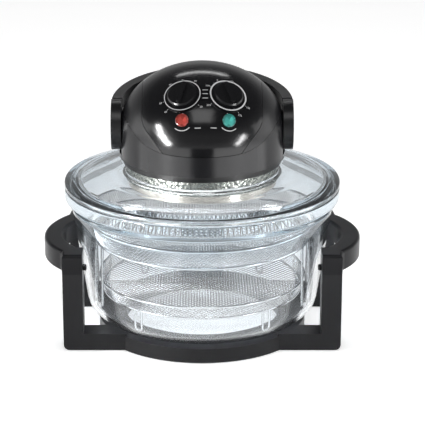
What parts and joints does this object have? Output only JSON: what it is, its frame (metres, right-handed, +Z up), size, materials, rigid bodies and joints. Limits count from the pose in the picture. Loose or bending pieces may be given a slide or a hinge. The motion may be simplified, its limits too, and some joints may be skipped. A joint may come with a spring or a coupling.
{
  "type": "halogen oven",
  "caption": "Round glass bowl oven on a black stand, with a lift-off glass lid that carries a domed head with heater, fan, two knobs and a fold-down handle.",
  "frame": {"origin": "on the table, under the middle of the bowl", "axes": "+Z up, the control panel faces -Y, +X is the right side seen from the front"},
  "size_m": [0.393, 0.34, 0.34],
  "materials": {
    "stand_plastic": "moulded black plastic, fine grain",
    "grip_plastic": "moulded black plastic, smooth",
    "foot_rubber": "soft black rubber",
    "screw_steel": "zinc plated",
    "bowl_glass": "clear, faint blue-green tint",
    "lid_glass": "clear tempered glass with a green edge",
    "rack_wire": "bright chromed wire",
    "gasket_silicone": "silicone",
    "pan_steel": "polished stainless steel",
    "ring_steel": "stainless steel",
    "neck_plastic": "heat resisting black plastic",
    "insulation_board": "pressed ceramic fibre",
    "heater_glass": "quartz tube",
    "ceramic": "unglazed ceramic",
    "sheet_steel": "zinc plated sheet",
    "guard_steel": "bright steel wire",
    "sensor_copper": "copper bulb",
    "fan_aluminium": "pressed aluminium",
    "cooling_plastic": "moulded plastic",
    "shaft_steel": "ground steel",
    "motor_steel": "laminated steel and enamelled wire",
    "cowl_plastic": "satin black plastic",
    "dome_plastic": "glossy black plastic",
    "panel_plastic": "glossy black plastic",
    "dial_plastic": "black with white figures",
    "lamp_red": "clear red lens",
    "lamp_green": "clear green lens",
    "holder_plastic": "white nylon",
    "unit_plastic": "moulded casing",
    "inlet_plastic": "hard black plastic",
    "pin_brass": "bare brass",
    "wire_cover": "silicone covered wire",
    "knob_plastic": "satin black plastic",
    "handle_plastic": "smooth black plastic"
  },
  "bodies": {
    "stand": {"stand": "stand_plastic", "stand_feet": "foot_rubber", "grip_screws": "screw_steel", "grip_left": "grip_plastic", "grip_right": "grip_plastic"},
    "bowl": {"glass_bowl": "bowl_glass"},
    "high_rack": {"high_rack": "rack_wire", "high_rack_floor": "rack_wire", "high_rack_legs": "rack_wire"},
    "low_rack": {"low_rack": "rack_wire", "low_rack_floor": "rack_wire", "low_rack_legs": "rack_wire"},
    "lid": {"glass_lid": "lid_glass", "lid_gasket": "gasket_silicone", "reflector_pan": "pan_steel", "retaining_ring": "ring_steel", "clamp_band": "ring_steel", "neck_ring": "neck_plastic", "insulation": "insulation_board", "halogen_tube": "heater_glass", "tube_holders": "ceramic", "tube_hangers": "sheet_steel", "guard_grille": "guard_steel", "thermostat_sensor": "sensor_copper", "chassis_plate": "sheet_steel", "chassis_screws": "screw_steel", "motor_bracket": "sheet_steel", "fan_motor": "motor_steel", "cowl": "cowl_plastic", "dome": "dome_plastic", "control_panel": "panel_plastic", "timer_dial": "dial_plastic", "thermostat_dial": "dial_plastic", "power_lamp": "lamp_red", "heating_lamp": "lamp_green", "lamp_holders": "holder_plastic", "timer_unit": "unit_plastic", "thermostat_unit": "unit_plastic", "safety_switch": "unit_plastic", "inlet_socket": "inlet_plastic", "inlet_pins": "pin_brass", "terminal_block": "holder_plastic", "supply_wires": "wire_cover"},
    "handle": {"handle": "handle_plastic", "pivot_pin_left": "shaft_steel", "pivot_pin_right": "shaft_steel"},
    "switch_plunger": {"switch_plunger": "holder_plastic"},
    "timer_knob": {"timer_knob": "knob_plastic", "timer_shaft": "shaft_steel"},
    "thermostat_knob": {"thermostat_knob": "knob_plastic", "thermostat_shaft": "shaft_steel"},
    "fan": {"convection_fan": "fan_aluminium", "cooling_fan": "cooling_plastic", "fan_shaft": "shaft_steel", "fan_nut": "shaft_steel"}
  },
  "joints": [
    {"name": "bowl_lift", "type": "slide", "parent": "stand", "child": "bowl", "axis": [0, 0, 1], "range_m": [0, 0.12]},
    {"name": "low_rack_lift", "type": "slide", "parent": "bowl", "child": "low_rack", "axis": [0, 0, 1], "range_m": [0, 0.03]},
    {"name": "high_rack_lift", "type": "slide", "parent": "bowl", "child": "high_rack", "axis": [0, 0, 1], "range_m": [0, 0.03]},
    {"name": "lid_lift", "type": "slide", "parent": "bowl", "child": "lid", "axis": [0, 0, 1], "range_m": [0, 0.12]},
    {"name": "handle_hinge", "type": "hinge", "parent": "lid", "child": "handle", "pos_m": [0, 0, 0.2635], "axis": [1, 0, 0], "range_deg": [0, 72]},
    {"name": "switch_travel", "type": "slide", "parent": "lid", "child": "switch_plunger", "axis": [0, 0, -1], "range_m": [0, 0.0012]},
    {"name": "timer_turn", "type": "hinge", "parent": "lid", "child": "timer_knob", "pos_m": [-0.0234, -0.067, 0.31696], "axis": [-0.2024, -0.5795, 0.7894], "range_deg": [-300, 0]},
    {"name": "thermostat_turn", "type": "hinge", "parent": "lid", "child": "thermostat_knob", "pos_m": [0.0304, -0.0651, 0.31627], "axis": [0.2636, -0.5646, 0.7822], "range_deg": [-270, 0]},
    {"name": "fan_spin", "type": "hinge", "parent": "lid", "child": "fan", "pos_m": [0, 0, 0.2], "axis": [0, 0, 1], "continuous": true}
  ],
  "couplings": [
    {"joint": "switch_travel", "follows": "handle_hinge", "m_per_rad": 0.000955}
  ]
}
